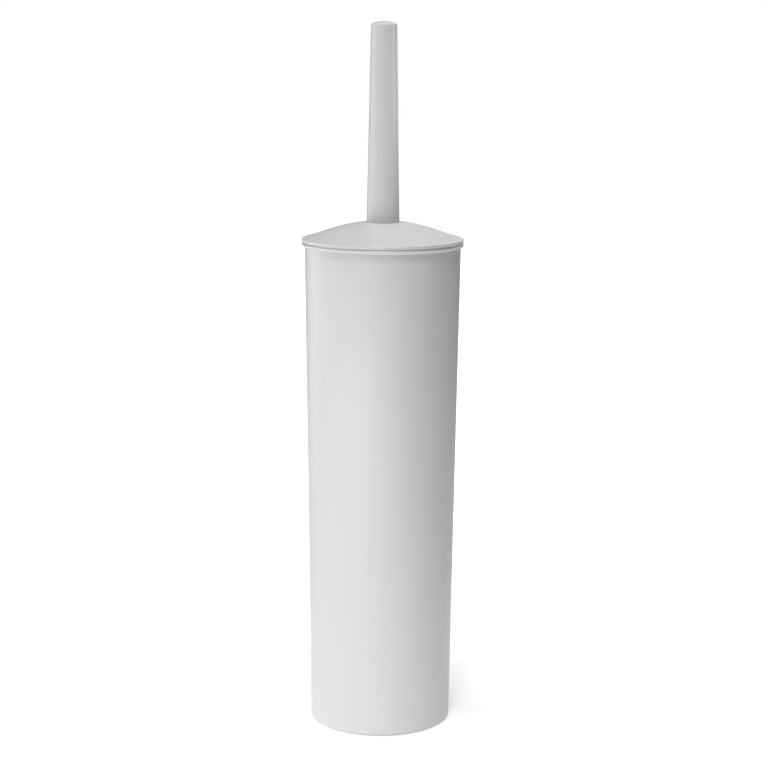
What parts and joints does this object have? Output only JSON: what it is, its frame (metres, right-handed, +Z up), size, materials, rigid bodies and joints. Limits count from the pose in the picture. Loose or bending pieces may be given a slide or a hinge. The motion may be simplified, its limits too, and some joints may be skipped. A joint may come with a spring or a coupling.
{
  "type": "toilet brush holder",
  "caption": "Slim tapered toilet brush holder with a removable liner; a domed lid with a tapered handle carries a stem and bristle head that lift out.",
  "frame": {"origin": "on the floor, at the centre of the base", "axes": "+Z up along the container, the stem and the handle; X and Y are free, because the object is round"},
  "size_m": [0.0948, 0.0948, 0.4155],
  "materials": {
    "shell_plastic": "satin",
    "liner_plastic": "satin",
    "head_plastic": "satin",
    "grip_rubber": "matte",
    "seal_rubber": "satin",
    "stem_steel": "satin",
    "insert_brass": "satin",
    "anchor_wire": "satin",
    "bristle_nylon": "matte"
  },
  "bodies": {
    "holder": {"holder_tube": "shell_plastic", "anti_slip_ring": "grip_rubber"},
    "liner": {"liner": "liner_plastic"},
    "seal": {"lid_seal": "seal_rubber"},
    "brush": {"lid": "shell_plastic", "handle": "shell_plastic", "handle_plug": "liner_plastic", "threaded_insert": "insert_brass", "stem": "stem_steel", "clamp_washer": "stem_steel", "stem_seal": "seal_rubber", "head_seal": "seal_rubber", "brush_head": "head_plastic", "tuft_anchors": "anchor_wire", "bristle_row_1": "bristle_nylon", "bristle_row_2": "bristle_nylon", "bristle_row_3": "bristle_nylon", "bristle_row_4": "bristle_nylon", "bristle_row_5": "bristle_nylon", "bristle_row_6": "bristle_nylon", "bristle_row_7": "bristle_nylon", "bristle_row_8": "bristle_nylon", "bristle_row_9": "bristle_nylon", "bristle_crown": "bristle_nylon"}
  },
  "joints": [
    {"name": "liner_lift", "type": "slide", "parent": "holder", "child": "liner", "axis": [0, 0, 1], "range_m": [0, 0.285]},
    {"name": "brush_lift", "type": "slide", "parent": "liner", "child": "seal", "axis": [0, 0, 1], "range_m": [0, 0.285]},
    {"name": "brush_turn", "type": "hinge", "parent": "seal", "child": "brush", "pos_m": [0, 0, 0.29], "axis": [0, 0, 1], "continuous": true}
  ]
}
